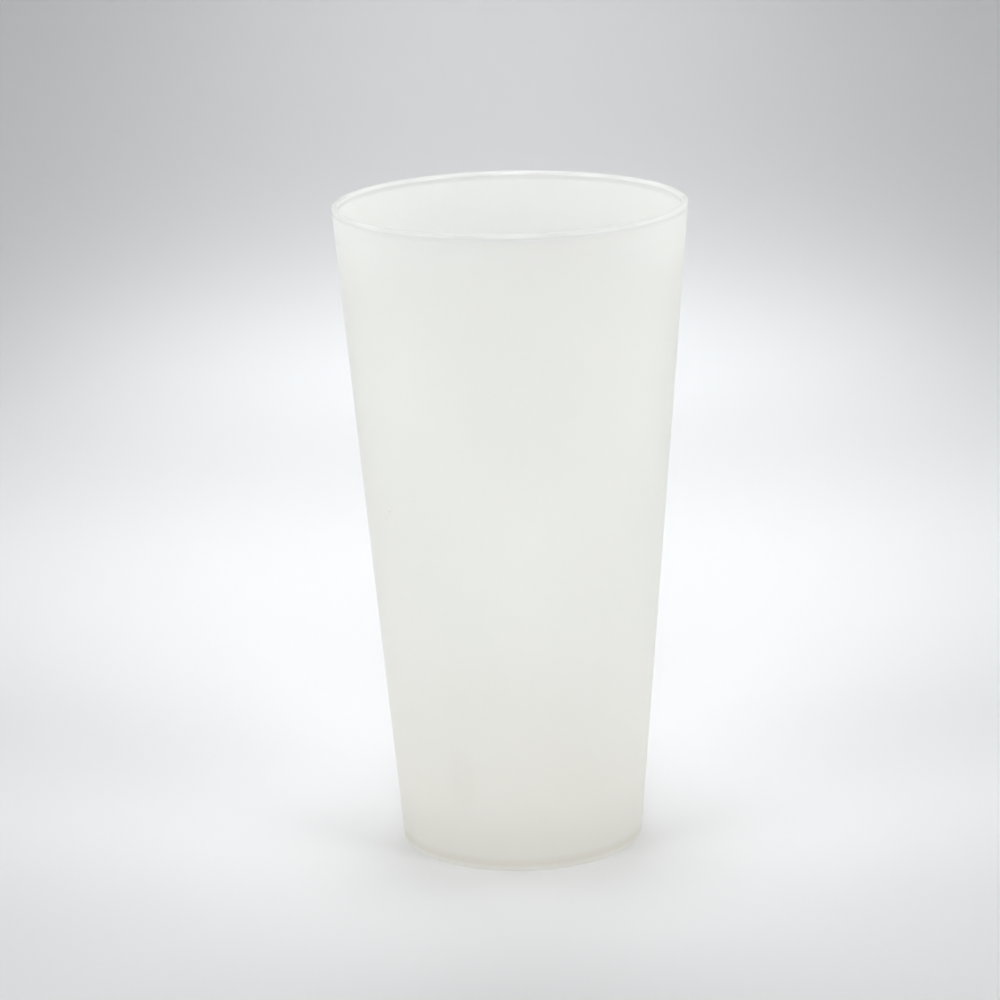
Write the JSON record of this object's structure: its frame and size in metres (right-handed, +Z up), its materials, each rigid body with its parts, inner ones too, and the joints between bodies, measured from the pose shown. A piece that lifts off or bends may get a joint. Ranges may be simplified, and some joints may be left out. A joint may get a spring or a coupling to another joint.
{
  "type": "reusable cup",
  "caption": "Tall tapered drinking tumbler moulded in one piece from frosted translucent plastic, with a narrow rounded bead for a lip and a foot ring.",
  "frame": {"origin": "centre of the circle on which the foot ring stands, at table height", "axes": "+Z up along the cup's axis, from the foot to the mouth; X and Y are alike, since the cup is a body of revolution"},
  "size_m": [0.0804, 0.0804, 0.15],
  "materials": {
    "cup_body": "fine matt, natural milky polypropylene, translucent"
  },
  "bodies": {
    "root": {"cup": "cup_body"}
  },
  "joints": []
}
